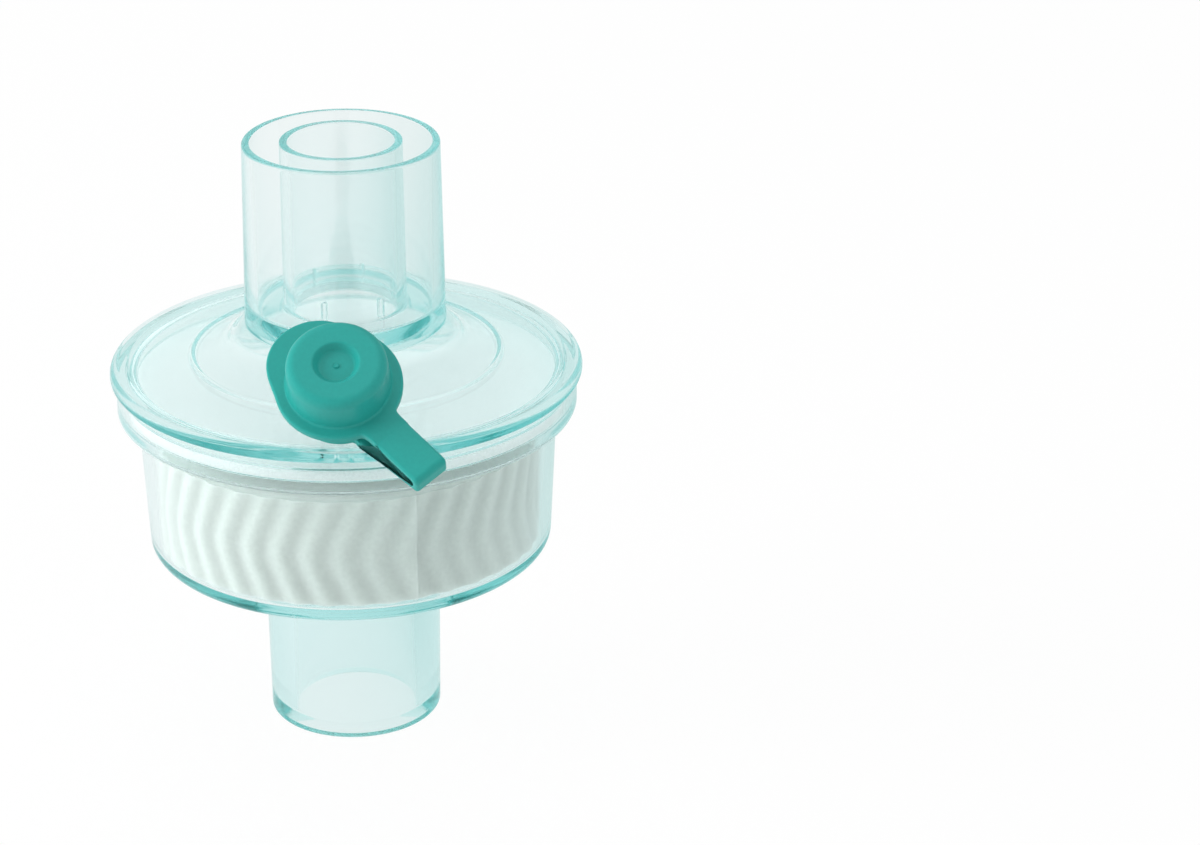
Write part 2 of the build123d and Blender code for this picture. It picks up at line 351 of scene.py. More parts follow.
def smooth(thing, angle=28.0):
    """Smooth shading, with a hard edge where two faces meet at more than the angle."""
    mesh = thing.data
    mesh.polygons.foreach_set("use_smooth", np.ones(len(mesh.polygons), bool))
    mesh.set_sharp_from_angle(angle=radians(angle))
    return thing


def placed(grid, origin, x_axis, y_axis, z_axis):
    """A grid in its own frame, put at origin with its axes along the given ones."""
    return grid @ np.array([x_axis, y_axis, z_axis]) + origin


def finish_piece(thing, material, node, body=None):
    """Names the mesh, gives a finished piece its material in one slot, hides the CAD node it takes the place
    of and, when a body is given, attaches it to that body.
    """
    thing.data.name = thing.name
    thing.data.materials.clear()
    thing.data.materials.append(material)
    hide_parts(node)
    if body:
        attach(thing, body)
    return thing


# Material helpers

def new_material(name):
    """A material with nodes, its node tree and its main shader."""
    material = bpy.data.materials.new(name)
    material.use_nodes = True
    tree = material.node_tree
    return material, tree, tree.nodes["Principled BSDF"]


def join(tree, value, socket):
    """Links another node's output to a socket, or sets the socket to a plain value."""
    if isinstance(value, bpy.types.NodeSocket):
        tree.links.new(value, socket)
    else:
        socket.default_value = value


def maths(tree, operation, first, second):
    """Result of a Math node on two numbers or outputs."""
    node = tree.nodes.new("ShaderNodeMath")
    node.operation = operation
    join(tree, first, node.inputs[0])
    join(tree, second, node.inputs[1])
    return node.outputs[0]


def colour_mix(tree, factor, first, second, blend="MIX"):
    """Result of a colour Mix node on two colours or outputs."""
    node = tree.nodes.new("ShaderNodeMix")
    node.data_type = "RGBA"
    node.blend_type = blend
    join(tree, factor, node.inputs["Factor"])
    join(tree, first, node.inputs["A"])
    join(tree, second, node.inputs["B"])
    return node.outputs["Result"]


def share_between(tree, value, low, high, smooth_ends=False):
    """0 where the value is low, 1 where it is high, and a share between."""
    node = tree.nodes.new("ShaderNodeMapRange")
    if smooth_ends:
        node.interpolation_type = "SMOOTHSTEP"
    node.inputs["From Min"].default_value = low
    node.inputs["From Max"].default_value = high
    tree.links.new(value, node.inputs["Value"])
    return node.outputs["Result"]


def along_x(tree, kind):
    """X of the shaded point in the given kind of texture coordinates."""
    place = tree.nodes.new("ShaderNodeTexCoord")
    parts = tree.nodes.new("ShaderNodeSeparateXYZ")
    tree.links.new(place.outputs[kind], parts.inputs[0])
    return parts.outputs["X"]


def mixed_shaders(tree, share, first, second):
    """Surface of a material: first, with a share of second."""
    node = tree.nodes.new("ShaderNodeMixShader")
    tree.links.new(share, node.inputs["Fac"])
    tree.links.new(first.outputs[0], node.inputs[1])
    tree.links.new(second.outputs[0], node.inputs[2])
    tree.links.new(node.outputs[0], tree.nodes["Material Output"].inputs["Surface"])


def grain_group():
    """Group: fine noise over Object coordinates. Tone runs from 1 less Contrast to 1, Height feeds a bump."""
    group = bpy.data.node_groups.new("fine_grain", "ShaderNodeTree")
    for name, value in (("Scale", 1000.0), ("Detail", 4.0), ("Contrast", 0.05)):
        socket = group.interface.new_socket(name, in_out="INPUT", socket_type="NodeSocketFloat")
        socket.default_value = value
    for name in ("Tone", "Height"):
        group.interface.new_socket(name, in_out="OUTPUT", socket_type="NodeSocketFloat")
    nodes, links = group.nodes, group.links
    inputs, outputs = nodes.new("NodeGroupInput"), nodes.new("NodeGroupOutput")
    place = nodes.new("ShaderNodeTexCoord")
    noise = nodes.new("ShaderNodeTexNoise")
    spread = nodes.new("ShaderNodeMapRange")
    spread.inputs["From Min"].default_value = 0.3
    spread.inputs["From Max"].default_value = 0.7
    links.new(place.outputs["Object"], noise.inputs["Vector"])
    links.new(inputs.outputs["Scale"], noise.inputs["Scale"])
    links.new(inputs.outputs["Detail"], noise.inputs["Detail"])
    links.new(noise.outputs["Fac"], spread.inputs["Value"])
    links.new(maths(group, "SUBTRACT", 1.0, inputs.outputs["Contrast"]), spread.inputs["To Min"])
    links.new(spread.outputs["Result"], outputs.inputs["Tone"])
    links.new(noise.outputs["Fac"], outputs.inputs["Height"])
    return group


def grain(tree, shader, colour, scale, detail, contrast, bump, depth):
    """Gives a shader its colour varied by the grain group, and a bump of that depth in millimetres. Returns
    the varied colour."""
    node = tree.nodes.new("ShaderNodeGroup")
    node.node_tree = GRAIN
    for name, value in (("Scale", scale), ("Detail", detail), ("Contrast", contrast)):
        node.inputs[name].default_value = value
    toned = colour_mix(tree, 1.0, (*colour, 1), node.outputs["Tone"], "MULTIPLY")
    tree.links.new(toned, shader.inputs["Base Color"])
    relief = tree.nodes.new("ShaderNodeBump")
    relief.inputs["Strength"].default_value = bump
    relief.inputs["Distance"].default_value = depth * MM
    tree.links.new(node.outputs["Height"], relief.inputs["Height"])
    tree.links.new(relief.outputs["Normal"], shader.inputs["Normal"])
    return toned


def clear_plastic():
    """Clear moulded plastic: refraction, with a teal tint that grows with the path through it. Lamps, light
    from dull surfaces and rays that are caught inside after many turns pass straight through."""
    material, tree, shader = new_material("clear_teal_plastic")
    shader.inputs["Base Color"].default_value = (1, 1, 1, 1)
    shader.inputs["Roughness"].default_value = 0.05
    shader.inputs["IOR"].default_value = 1.5
    shader.inputs["Transmission Weight"].default_value = 1.0
    tint = tree.nodes.new("ShaderNodeVolumeAbsorption")
    tint.inputs["Color"].default_value = (0.2, 0.79, 0.785, 1)
    tint.inputs["Density"].default_value = 42.0
    straight = tree.nodes.new("ShaderNodeBsdfTransparent")
    straight.inputs["Color"].default_value = (0.975, 0.99, 0.99, 1)
    rays = tree.nodes.new("ShaderNodeLightPath").outputs
    caught = maths(tree, "GREATER_THAN", rays["Ray Depth"], CAUGHT_DEPTH)
    from_dull = maths(tree, "MAXIMUM", rays["Is Shadow Ray"], rays["Is Diffuse Ray"])
    mixed_shaders(tree, maths(tree, "MAXIMUM", from_dull, caught), shader, straight)
    tree.links.new(tint.outputs[0], tree.nodes["Material Output"].inputs["Volume"])
    return material


def cap_plastic():
    """Soft satin plastic with a very fine moulded texture."""
    material, tree, shader = new_material("soft_teal_plastic")
    shader.inputs["Roughness"].default_value = 0.42
    shader.inputs["IOR"].default_value = 1.48
    shader.inputs["Specular IOR Level"].default_value = 0.3
    grain(tree, shader, (0.021, 0.345, 0.308), 2500.0, 3.0, 0.06, 0.25, 0.02)
    return material


def let_light_through(shader, reach):
    """Light enters the piece and leaves it again up to a few times reach, in mm, further on."""
    shader.inputs["Subsurface Weight"].default_value = 1.0
    shader.inputs["Subsurface Radius"].default_value = (1, 1, 1)
    shader.inputs["Subsurface Scale"].default_value = reach * MM


def felt():
    """White non-woven felt: fine noise for its fibres, with a slight sheen."""
    material, tree, shader = new_material("white_felt")
    shader.inputs["Roughness"].default_value = 0.9
    shader.inputs["Sheen Weight"].default_value = 0.2
    let_light_through(shader, 4.0)
    grain(tree, shader, (0.93, 0.935, 0.93), 3500.0, 6.0, 0.12, 0.6, 0.06)
    return material


def paper():
    """Matt corrugated paper, with painted shade down in the roll's flutes and painted light on its two ends,
    from an attribute of the roll.
    """
    material, tree, shader = new_material("roll_paper")
    shader.inputs["Roughness"].default_value = 0.85
    let_light_through(shader, 1.2)
    toned = grain(tree, shader, (0.73, 0.755, 0.72), 1800.0, 5.0, 0.08, 0.35, 0.04)
    # Painted shade in the flutes and painted light on the roll's ends, read from the roll's attribute, scale
    # the paper colour
    painted_light_and_shade = tree.nodes.new("ShaderNodeAttribute")
    painted_light_and_shade.attribute_name = "painted_light_and_shade"
    shaded = tree.nodes.new("ShaderNodeVectorMath")
    shaded.operation = "SCALE"
    tree.links.new(painted_light_and_shade.outputs["Fac"], shaded.inputs["Scale"])
    tree.links.new(toned, shaded.inputs[0])
    tree.links.new(shaded.outputs["Vector"], shader.inputs["Base Color"])
    return material


# Pieces of the housing

def floor_inside(r):
    """Height of the inner face of the cup's conical floor at a radius."""
    return FLOOR_Z + FLOOR_THICK + (r - PORT_FOOT_R) / (CUP_CORNER_R - PORT_FOOT_R) * (CORNER_Z - FLOOR_Z)


def blade(centre, low, high, thick, crest=0.2):
    """A standing blade along a flat path: at each path point a closed section, as wide as thick and rounded
    at its crest, that narrows to nothing in a half circle at both ends."""
    step = np.linalg.norm(np.diff(centre, axis=0), axis=1)
    run = np.concatenate([[0], np.cumsum(step)])
    from_end = np.minimum(run, run[-1] - run)
    half = thick / 2
    inside = np.clip(1 - from_end / half, 0, 1)
    width = half * np.sqrt(np.maximum(1 - inside ** 2, 0))
    along = unit(np.gradient(centre, axis=0))
    across = np.stack([-along[:, 1], along[:, 0]], 1)
    sides = np.array([-1, -0.85, -0.4, 0.4, 0.85, 1, 1, -1])
    tops = np.array([1, 1, 1, 1, 1, 1, 0, 0])
    drop = np.array([1, 0.3, 0, 0, 0.3, 1, 0, 0]) * crest
    flat = centre[:, None] + across[:, None] * (sides[None] * width[:, None])[..., None]
    z = np.where(tops[None] > 0, high - drop[None], low[:, None])
    return np.concatenate([flat, z[..., None]], -1)


def eased(count):
    """Shares from 0 to 1, close together near both ends: (1 + sin(t pi / 2)) / 2 for t from -1 to 1."""
    t = np.linspace(-1, 1, count)
    return 0.5 + 0.5 * np.sin(t * pi / 2)


def floor_ribs():
    """Curved ribs: at a share t of the way out, each is turned by swirl * (t + (4 bow - 2) t (1 - t)). They
    run on by half a thickness at both ends, where they narrow."""
    past_end = RIB_THICK / 2 / (RIB_OUTER_R - RIB_INNER_R)
    t = eased(40) * (1 + 2 * past_end) - past_end
    r = RIB_INNER_R + (RIB_OUTER_R - RIB_INNER_R) * t
    swing = radians(RIB_SWIRL) * (t + (4 * RIB_BOW - 2) * t * (1 - t))
    low = floor_inside(r) - FLOOR_THICK / 2
    starts = 2 * pi * np.arange(RIB_COUNT) / RIB_COUNT
    return [
        blade(np.stack([r * np.cos(start + swing), r * np.sin(start + swing)], 1), low, SEAT_Z, RIB_THICK)
        for start in starts
    ]


def crown_vanes():
    """Short vanes on a circle, each over an angle of 2 pi / count less the window's width / radius."""
    r = CROWN_R - CROWN_WALL / 2
    span = 2 * pi / CROWN_VANES - WINDOW_WIDTH / r
    angle = span * (eased(24) - 0.5)
    low = floor_inside(r) - FLOOR_THICK / 2 + 0 * angle
    return [
        blade(np.stack([r * np.cos(a + angle), r * np.sin(a + angle)], 1), low, SEAT_Z, CROWN_WALL)
        for a in 2 * pi * np.arange(CROWN_VANES) / CROWN_VANES
    ]


def lower_shell():
    """Cup and lower port: one turned outline, with the ribs and vanes joined on its floor."""
    inside_corner = CUP_CORNER_R - WALL
    outline = rounded([
        (PORT_TIP_R, 0, 0.45),
        (PORT_FOOT_R, FLOOR_Z, 1.6),
        (CUP_CORNER_R, CORNER_Z, 1.5),
        (CUP_TOP_R, SHELF_Z, 0.45),
        (FLANGE_R, SHELF_Z, 0.45),
        (FLANGE_R, SEAM_Z - AIR_GAP, 0.1),
        (FLANGE_R - FLANGE_WALL, SEAM_Z - AIR_GAP, 0.1),
        (FLANGE_R - FLANGE_WALL, MEMBRANE_LOW_Z, 0.1),
        (CUP_TOP_R - WALL, MEMBRANE_LOW_Z, 0.15),
        (inside_corner, floor_inside(CUP_CORNER_R), 0.6),
        (CROWN_R - CROWN_WALL - CROWN_GAP, floor_inside(CROWN_R), 0.15),
        (BORE_END_R, FLOOR_Z, 0),
        (BORE_TIP_R, MOUTH_DEPTH, 0.3),
        (MOUTH_R, 0, 0.12),
    ])
    shell = solid("cup_and_lower_port", [turned(outline)])
    combined(shell, solid("ribs", floor_ribs(), wrap_rows=False), "UNION")
    combined(shell, solid("vanes", crown_vanes(), wrap_rows=False), "UNION")
    return smooth(shell)


def lid_outside(r):
    """Height of the lid's outer face: a shallow cone, a little steeper inside the ridge."""
    edge = RIM_R - BEAD_WIDTH - BEAD_SLOPE
    outer = DISC_EDGE_Z + (edge - r) / (edge - RIDGE_R) * (RIDGE_Z - DISC_EDGE_Z)
    inner = RIDGE_Z + (RIDGE_R - r) / (RIDGE_R - NECK_R) * (NECK_Z - RIDGE_Z)
    return outer if r > RIDGE_R else inner


def under_lid(lift=0.0):
    """Corners of the lid's inner face from the spigot to the inner tube's bore, raised by a lift."""
    return [
        (FLANGE_R - FLANGE_WALL - SPIGOT_GAP - SPIGOT_WIDTH, DISC_EDGE_Z - DISC_THICK + lift, 0.3),
        (RIDGE_R, RIDGE_Z - DISC_THICK + lift, 2.0),
        (NECK_R, NECK_Z - DISC_THICK + lift, 4.0),
        (TUBE_FOOT_R - DISC_THICK, TUBE_FOOT_Z - DISC_THICK + lift, 1.0),
        (INNER_BORE_R, ANNULUS_Z - ANNULUS_FLOOR + lift, 0.4),
    ]


def sampling_frame():
    """Origin and axes of the sampling port: x along X, z along its own leaning axis."""
    z_axis = np.array([0, -sin(SAMPLING_LEAN), cos(SAMPLING_LEAN)])
    x_axis = np.array([1.0, 0, 0])
    return SAMPLING_FOOT, x_axis, np.cross(z_axis, x_axis), z_axis


def upper_shell():
    """Lid, coaxial port and sampling port: one turned outline with the leaning neck joined on and bored. The
    space below the lid is cut off the neck first."""
    spigot = FLANGE_R - FLANGE_WALL - SPIGOT_GAP
    half_ridge = RIDGE_WIDTH / 2
    outline = rounded([
        (spigot, MEMBRANE_TOP_Z, 0.2),
        (spigot, SEAM_Z, 0.1),
        (RIM_R, SEAM_Z, 0.3),
        (RIM_R, LID_TOP_Z, 1.0),
        (RIM_R - BEAD_WIDTH, LID_TOP_Z, 0.4),
        (RIM_R - BEAD_WIDTH - BEAD_SLOPE, DISC_EDGE_Z, 0.3),
        (RIDGE_R + half_ridge, lid_outside(RIDGE_R + half_ridge), 0.25),
        (RIDGE_R, RIDGE_Z + RIDGE_HEIGHT * 1.6, 0.3),
        (RIDGE_R - half_ridge, lid_outside(RIDGE_R - half_ridge), 0.25),
        (NECK_R, NECK_Z, 4.5),
        (TUBE_FOOT_R + 0.25, TUBE_FOOT_Z - 0.2, 0.15),
        (TUBE_FOOT_R, TUBE_FOOT_Z + 0.15, 0.3),
        (TUBE_TOP_R, TOTAL_Z, 0.4),
        (SOCKET_MOUTH_R, TOTAL_Z, 0.2),
        (SOCKET_END_R, ANNULUS_Z, 0.5),
        (CONE_FOOT_R, ANNULUS_Z, 0.5),
        (CONE_TIP_R, TOTAL_Z, 0.2),
        (INNER_BORE_R, TOTAL_Z, 0.2),
        *reversed(under_lid()),
        (spigot - SPIGOT_WIDTH, MEMBRANE_TOP_Z, 0.2),
    ])
    shell = solid("lid_and_upper_port", [turned(outline)])
    neck = solid("neck", [placed(turned(rounded([
        (0, -SAMPLING_ROOT, 0),
        (SAMPLING_R, -SAMPLING_ROOT, 0),
        (SAMPLING_R, SAMPLING_HEIGHT - SAMPLING_LIP, 0.1),
        (SAMPLING_LIP_R, SAMPLING_HEIGHT - SAMPLING_LIP, 0.1),
        (SAMPLING_LIP_R, SAMPLING_HEIGHT, 0.35),
        (0, SAMPLING_HEIGHT, 0),
    ], closed=False), SAMPLING_TURNS), *sampling_frame())], wrap_columns=False)
    well_out, well_down = 40, 30
    below = solid("below", [turned(rounded([
        (0, well_down, 0),
        (well_out, well_down, 0),
        (well_out, DISC_EDGE_Z - DISC_THICK, 0),
        *under_lid(0.5),
        (0, ANNULUS_Z - ANNULUS_FLOOR, 0),
    ], closed=False), SAMPLING_TURNS)], wrap_columns=False)
    combined(neck, below, "DIFFERENCE")
    combined(shell, neck, "UNION")
    bore = solid("bore", [placed(turned(rounded([
        (0, -SAMPLING_HOLE_END, 0),
        (SAMPLING_HOLE_R, -SAMPLING_HOLE_END, 0),
        (SAMPLING_HOLE_R, SAMPLING_HEIGHT - SAMPLING_BORE_DEPTH, 0),
        (SAMPLING_END_R, SAMPLING_HEIGHT - SAMPLING_BORE_DEPTH, 0),
        (SAMPLING_MOUTH_R, SAMPLING_HEIGHT, 0),
        (SAMPLING_MOUTH_R, SAMPLING_HEIGHT + 1, 0),
        (0, SAMPLING_HEIGHT + 1, 0),
    ], closed=False), BORE_TURNS), *sampling_frame())], wrap_columns=False)
    combined(shell, bore, "DIFFERENCE")
    combined(shell, stop_ribs(), "UNION")
    return smooth(shell)


def stop_ribs():
    """Short upright ribs inside the foot of the inner tube, each a blade that runs inwards from the wall."""
    t = eased(16)
    r = INNER_BORE_R + 0.4 - (STOP_DEPTH + 0.4) * t
    angles = radians(STOP_TURN) - pi / 2 + 2 * pi * np.arange(STOP_COUNT) / STOP_COUNT
    low = ANNULUS_Z + 0 * t
    return solid("stops", [
        blade(np.stack([r * np.cos(a), r * np.sin(a)], 1), low, ANNULUS_Z + STOP_HEIGHT, STOP_THICK)
        for a in angles
    ], wrap_rows=False)


# Pieces inside

def felt_disc():
    """Membrane: a thin disc, clamped flat at its rim. Inside that it sinks at angle a and radius r by
    sag * (1 + sin(5 a + r / 3) cos(r / 2.3 + 2 a)) / 2, which makes it very slightly uneven."""
    low, high = MEMBRANE_LOW_Z + AIR_GAP, MEMBRANE_TOP_Z - AIR_GAP
    flat_r = MEMBRANE_R - 0.15
    ring = np.linspace(0, 1, 40)[:, None] * flat_r
    edge = rounded([(0, low, 0), (MEMBRANE_R, low, 0.1), (MEMBRANE_R, high, 0.1), (0, high, 0)], closed=False)
    outline = np.concatenate([
        np.hstack([ring, low + 0 * ring]),
        edge[edge[:, 0] > flat_r],
        np.hstack([ring[::-1], high + 0 * ring]),
    ])
    grid = turned(outline, 180)
    r = np.linalg.norm(grid[..., :2], axis=-1)
    angle = np.arctan2(grid[..., 1], grid[..., 0])
    inside = np.clip((MEMBRANE_R - 2.5 - r) / 3, 0, 1) * np.clip(r / 3, 0, 1)
    uneven = (1 + np.sin(5 * angle + r / 3) * np.cos(r / 2.3 + 2 * angle)) / 2
    grid[..., 2] -= MEMBRANE_SAG * inside * uneven
    return smooth(solid("membrane_felt_disc", [grid], wrap_columns=False), 40)


def paper_roll():
    """Roll: radius R - depth (1 - cos(N (a - s(z)))) / 2 with the shift s(z) a softened V, so that the
    flutes slant one way up to the kink and back above it. The wave is up to 30 percent lower in places, and
    a small step marks the end of the strip. The attribute painted_light_and_shade is painted shade that
    deepens evenly from crest to flute, and painted light on the two ends."""
    foot = SEAT_Z + AIR_GAP
    height = ROLL_TOP_Z - foot
    side = np.linspace(0, 1, 57)[:, None]
    edge = ROLL_R - FLUTE_DEPTH - 0.4
    ring = np.linspace(0, 1, 24)[:, None] * edge
    outline = np.concatenate([
        np.hstack([ring, foot + 0 * ring]),
        np.hstack([ROLL_R + 0 * side, foot + height * side]),
        np.hstack([ring[::-1], ROLL_TOP_Z + 0 * ring]),
    ])
    steps = 16 * FLUTES
    grid = turned(outline, steps)
    angle = np.linspace(0, 2 * pi, steps, endpoint=False)[:, None]
    z = outline[None, :, 1]
    above = z - foot - KINK_LEVEL * height
    shift = np.tan(radians(FLUTE_SLANT)) * np.sqrt(above ** 2 + KINK_SOFTNESS ** 2) / ROLL_R
    wave = (1 - np.cos(FLUTES * (angle - shift))) / 2 * (0.85 + 0.15 * np.sin(3 * angle + z / 4))
    spiral = ((angle - STRIP_END) % (2 * pi)) / (2 * pi)
    outer = (outline[:, 0] > edge + 0.1)[None]
    r = np.where(outer, ROLL_R - STRIP_STEP * (1 - spiral) - (FLUTE_DEPTH - STRIP_STEP) * wave,
                 outline[None, :, 0] + 0 * angle)
    grid[..., 0] = r * np.cos(angle)
    grid[..., 1] = r * np.sin(angle)
    roll = smooth(solid("wound_paper_roll", [grid], wrap_columns=False), 50)
    place = np.empty(3 * len(roll.data.vertices))
    roll.data.vertices.foreach_get("co", place)
    depth = ROLL_R - np.linalg.norm(place.reshape(-1, 3)[:, :2] / MM, axis=1)
    on_side = depth < 1.1 * FLUTE_DEPTH
    # Painted shade that darkens each flute towards its bottom, and painted light on the two ends
    painted_light_and_shade = roll.data.attributes.new("painted_light_and_shade", "FLOAT", "POINT")
    painted_flute_shade = CREST_PAINTED_LIGHT - FLUTE_PAINTED_SHADE * depth / FLUTE_DEPTH
    painted_light_and_shade.data.foreach_set("value", np.where(on_side, painted_flute_shade, END_PAINTED_LIGHT))
    return roll


# Cap, strap and ring

def strap_frame(height):
    """Frame on the sampling port's axis at a height above the flange: x along the strap, z along the axis."""
    foot, x_axis, y_axis, z_axis = sampling_frame()
    along = x_axis * cos(STRAP_ANGLE) + y_axis * sin(STRAP_ANGLE)
    return foot + z_axis * (CAP_SEAT + height), along, np.cross(z_axis, along), z_axis


def soft_max(first, second, softness):
    """The larger of two values, plus softness / 4 * (1 - |gap| / softness)^2 where the gap is smaller."""
    gap = np.clip((first - second) / softness, -1, 1)
    return np.maximum(first, second) + softness / 4 * (1 - np.abs(gap)) ** 2


def strap_reach(angle, width, reach):
    """Distance to the edge of a straight band of that width and reach, seen from its root's centre."""
    side = width / 2 / np.maximum(np.abs(np.sin(angle)), 1e-6)
    end = reach / np.maximum(np.cos(angle), 1e-6)
    return np.where(np.cos(angle) > 0, np.minimum(side, end), 0)


def flange_edge(angle):
    """Edge of the cap's flange: a disc, a wider lobe opposite the strap and the strap's root."""
    offset = TAB_REACH - TAB_R
    lobe = -offset * np.cos(angle) + np.sqrt(TAB_R ** 2 - (offset * np.sin(angle)) ** 2)
    return soft_max(soft_max(lobe, DISC_R, 0.9), strap_reach(angle, STRAP_WIDTH, STRAP_ROOT), 1.6)


def dense_angles(extra):
    """Angles round a circle, pi (0.35 t + 0.65 t^3), with more of them near 0, where the strap's root is."""
    t = np.linspace(-1, 1, extra, endpoint=False)
    return pi * (0.35 * t + 0.65 * t ** 3)


def cap_piece():
    """Cap: at each angle a profile runs from the gate mark over the dimple, crown and flange, back into the
    cavity and down the plug. On the flange r is free + (r - free) * (edge - free) / (disc - free), where disc
    and edge are the plain disc's radius and the real edge at that angle, both less the rounding. In the
    rounding r keeps its distance to the edge, so that the edge stays round."""
    profile = rounded([
        (0, CAP_HEIGHT - DIMPLE_DEPTH + GATE_HEIGHT, 0),
        (GATE_R, CAP_HEIGHT - DIMPLE_DEPTH + GATE_HEIGHT, 0.1),
        (GATE_R + 0.1, CAP_HEIGHT - DIMPLE_DEPTH, 0.08),
        (DIMPLE_FLOOR_R, CAP_HEIGHT - DIMPLE_DEPTH, 0.45),
        (DIMPLE_R, CAP_HEIGHT, 0.35),
        (CAP_TOP_R, CAP_HEIGHT, CAP_ROUND),
        (CAP_BASE_R, 0, 0.35),
        (DISC_R, 0, 0.3),
        (DISC_R, -DISC_THICKNESS, 0.3),
        (CAVITY_R, -DISC_THICKNESS, 0.2),
        (CAVITY_R, CAVITY_ROOF, 0.2),
        (PLUG_ROOT_R, CAVITY_ROOF, 0.2),
        (PLUG_TIP_R, CAVITY_ROOF - PLUG_LENGTH, 0.3),
        (0, CAVITY_ROOF - PLUG_LENGTH, 0),
    ], closed=False)
    angle = dense_angles(360)[:, None]
    r, z = profile[None, :, 0], profile[None, :, 1]
    free = CAP_BASE_R + 0.4
    on_flange = (z < 0.01) & (r > free)
    edge = flange_edge(angle)
    disc_flat = DISC_R - DISC_EDGE_ROUND
    flat = free + (r - free) * (edge - DISC_EDGE_ROUND - free) / (disc_flat - free)
    r = np.where(on_flange, np.where(r > disc_flat, edge - DISC_R + r, flat), r + 0 * angle)
    grid = np.stack([r * np.cos(angle), r * np.sin(angle), z + 0 * angle], -1)
    return smooth(solid("sampling_cap", [placed(grid, *strap_frame(0))], wrap_columns=False), 50)


def ring_piece():
    """Ring: a rounded rectangle carried round the neck. Its outer side is at the larger of the ring's radius
    and the strap's reach at each angle."""
    angle = dense_angles(300)[:, None]
    outer = soft_max(RING_R + 0 * angle, strap_reach(angle, STRAP_WIDTH, RING_ROOT), 0.5)
    section = rounded([(0, 0, 0.3), (1, 0, 0.3), (1, -RING_THICK, 0.3), (0, -RING_THICK, 0.3)], steps=5)
    wide = 1 + 0 * section[None, :, 0]
    half = section[None, :, 0] > 0.5
    r = np.where(half, outer + section[None, :, 0] - 1, RING_HOLE_R + section[None, :, 0]) * wide
    grid = np.stack([r * np.cos(angle), r * np.sin(angle), section[None, :, 1] + 0 * angle], -1)
    return smooth(solid("turning_ring", [placed(grid, *strap_frame(-DISC_THICKNESS - RING_DROP))]), 50)


def strap_piece():
    """Strap: the side view of the fold, carried across its width. At an angle t round each long edge the
    outline is drawn in by edge * (1 - sin t), which rounds it."""
    ring_top = -DISC_THICKNESS - RING_DROP
    fold = 2 * STRAP_THICK + FOLD_GAP
    corners = np.array([
        (STRAP_ROOT - STRAP_HIDDEN, -0.01, 0),
        (STRAP_REACH, -0.01, FOLD_ROUND),
        (STRAP_REACH, -fold, FOLD_ROUND),
        (STRAP_REACH - FOLD_FACET, -fold, 0.4),
        (RING_ROOT - RING_HIDDEN, ring_top - RING_THICK, 0),
        (RING_ROOT - RING_HIDDEN, ring_top, 0),
        (STRAP_REACH - STRAP_THICK - FOLD_LEAN, -STRAP_THICK - FOLD_GAP, 0.12),
        (STRAP_REACH - STRAP_THICK, -STRAP_THICK, 0.12),
        (STRAP_ROOT - STRAP_HIDDEN, -STRAP_THICK, 0),
    ])
    side = divided(rounded(corners), 0.5)
    tangent = unit(np.roll(side, -1, 0) - np.roll(side, 1, 0))
    inward = np.stack([tangent[:, 1], -tangent[:, 0]], 1)
    turn = np.linspace(0, pi / 2, 7)
    outer = STRAP_WIDTH / 2 - STRAP_EDGE * (1 - np.cos(turn))
    across = np.concatenate([-outer, outer[::-1]])
    drawn = STRAP_EDGE * (1 - np.sin(turn))
    drawn = np.concatenate([drawn, drawn[::-1]])
    outline = side[None] + inward[None] * drawn[:, None, None]
    grid = np.stack([outline[..., 0], across[:, None] + 0 * outline[..., 0], outline[..., 1]], -1)
    strap = solid("folded_strap", [placed(grid, *strap_frame(0))], wrap_rows=False)
    form = bmesh.new()
    form.from_mesh(strap.data)
    bmesh.ops.holes_fill(form, edges=[e for e in form.edges if e.is_boundary])
    bmesh.ops.recalc_face_normals(form, faces=form.faces)
    form.to_mesh(strap.data)
    form.free()
    return smooth(strap, 40)


GRAIN = grain_group()
clear, teal, white_felt, white_paper = clear_plastic(), cap_plastic(), felt(), paper()
finish_piece(lower_shell(), clear, "lower_housing", "housing")
finish_piece(upper_shell(), clear, "upper_housing", "housing")
finish_piece(felt_disc(), white_felt, "filter_membrane", "housing")
finish_piece(paper_roll(), white_paper, "hme_roll", "housing")
finish_piece(cap_piece(), teal, "luer_cap", "cap")
finish_piece(ring_piece(), teal, "neck_ring", "tether")
strap = finish_piece(strap_piece(), teal, "cap_strap")
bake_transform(strap)


# Camera, floor and light

def set_camera():
    """Camera fitted to the photograph's view."""
    data = bpy.data.cameras.new("camera")
    data.lens = FOCAL_PIXELS / IMAGE_WIDTH * data.sensor_width
    camera = new_object("camera", data)
    turn = Matrix.Rotation(pi / 2 - CAMERA_PITCH, 4, "X") @ Matrix.Rotation(CAMERA_ROLL, 4, "Z")
    camera.matrix_world = Matrix.Translation(Vector(CAMERA_PLACE) * MM) @ turn
    data.clip_start, data.clip_end = 0.01, 20
    bpy.context.scene.camera = camera


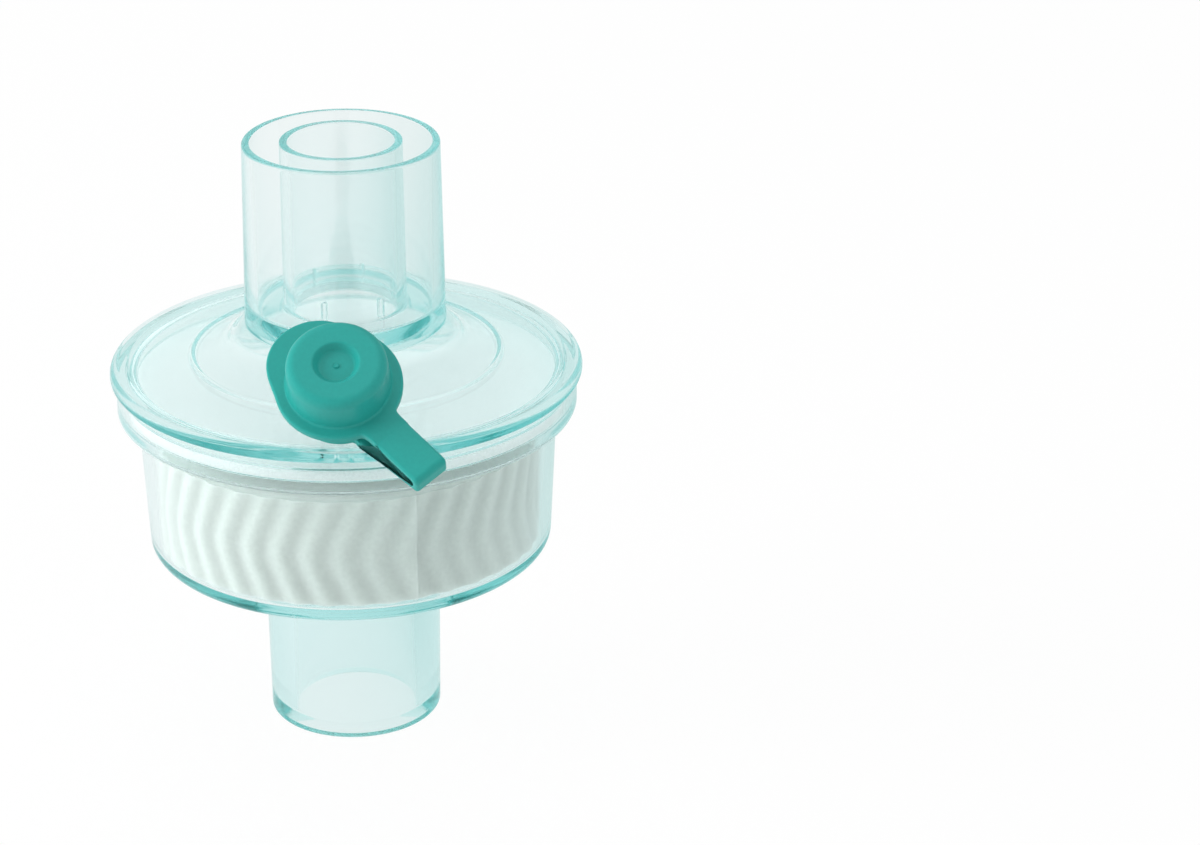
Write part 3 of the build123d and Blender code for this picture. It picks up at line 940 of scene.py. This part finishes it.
def white_floor():
    """Pale floor: lit like white paint, but mostly plain white where the camera sees it, so that only the
    object's shadow shows. Gloss and glass see it a little darker, and greener to the right, a painted
    reflection of a second teal filter standing there that is not built."""
    mesh = bpy.data.meshes.new("floor")
    low = -AIR_GAP * MM
    corners = [(x * FLOOR_REACH, y * FLOOR_REACH, low) for x, y in ((-1, -1), (1, -1), (1, 1), (-1, 1))]
    mesh.from_pydata(corners, [], [(0, 1, 2, 3)])
    floor = new_object("floor", mesh)
    material, tree, shader = new_material("floor_white")
    shader.inputs["Base Color"].default_value = (0.9, 0.9, 0.9, 1)
    shader.inputs["Roughness"].default_value = 1.0
    shader.inputs["Specular IOR Level"].default_value = 0.0
    glow = tree.nodes.new("ShaderNodeEmission")
    rays = tree.nodes.new("ShaderNodeLightPath").outputs
    to_right = share_between(tree, along_x(tree, "Object"), *FLOOR_TURNS_GREEN, smooth_ends=True)
    toned = colour_mix(tree, to_right, FLOOR_LEFT, FLOOR_PAINTED_TEAL_RIGHT)
    tree.links.new(colour_mix(tree, rays["Is Camera Ray"], toned, WHITE), glow.inputs["Color"])
    seen = maths(tree, "MAXIMUM", rays["Is Camera Ray"], rays["Is Transmission Ray"])
    seen = maths(tree, "MAXIMUM", seen, rays["Is Glossy Ray"])
    mixed_shaders(tree, maths(tree, "MULTIPLY", seen, FLOOR_GLOW), shader, glow)
    mesh.materials.append(material)


def area_lamp(name, place, size, watts):
    """Square lamp that shines at the middle of the object and isn't seen in gloss or through glass."""
    data = bpy.data.lights.new(name, "AREA")
    data.shape = "RECTANGLE"
    data.size, data.size_y = size, size
    data.energy = watts
    lamp = new_object(name, data)
    lamp.visible_glossy = False
    lamp.visible_transmission = False
    look = (Vector(LAMP_AIM) - Vector(place)).to_track_quat("-Z", "Y")
    lamp.matrix_world = Matrix.Translation(Vector(place)) @ look.to_matrix().to_4x4()


def set_light():
    """White world for the eye, darker and greener to the right for gloss and glass, and dimmer for dull
    surfaces. Soft lamps stand to the left and above."""
    scene = bpy.context.scene
    world = bpy.data.worlds.new("studio")
    world.use_nodes = True
    scene.world = world
    tree = world.node_tree
    rays = tree.nodes.new("ShaderNodeLightPath").outputs
    to_right = share_between(tree, along_x(tree, "Generated"), -1.0, 1.0)
    toned = colour_mix(tree, to_right, WORLD_LEFT, WORLD_RIGHT)
    seen = colour_mix(tree, rays["Is Camera Ray"], toned, WHITE)
    lit = colour_mix(tree, rays["Is Diffuse Ray"], seen, WORLD_ON_DULL)
    tree.links.new(lit, tree.nodes["Background"].inputs["Color"])
    for name, place, size, watts in LAMPS:
        area_lamp(name, place, size, watts)
    scene.view_settings.view_transform = "Standard"
    scene.cycles.use_denoising = True
    scene.cycles.max_bounces = BOUNCES
    scene.cycles.transmission_bounces = BOUNCES
    scene.cycles.glossy_bounces = BOUNCES
    scene.cycles.transparent_max_bounces = BOUNCES


set_camera()
white_floor()
set_light()
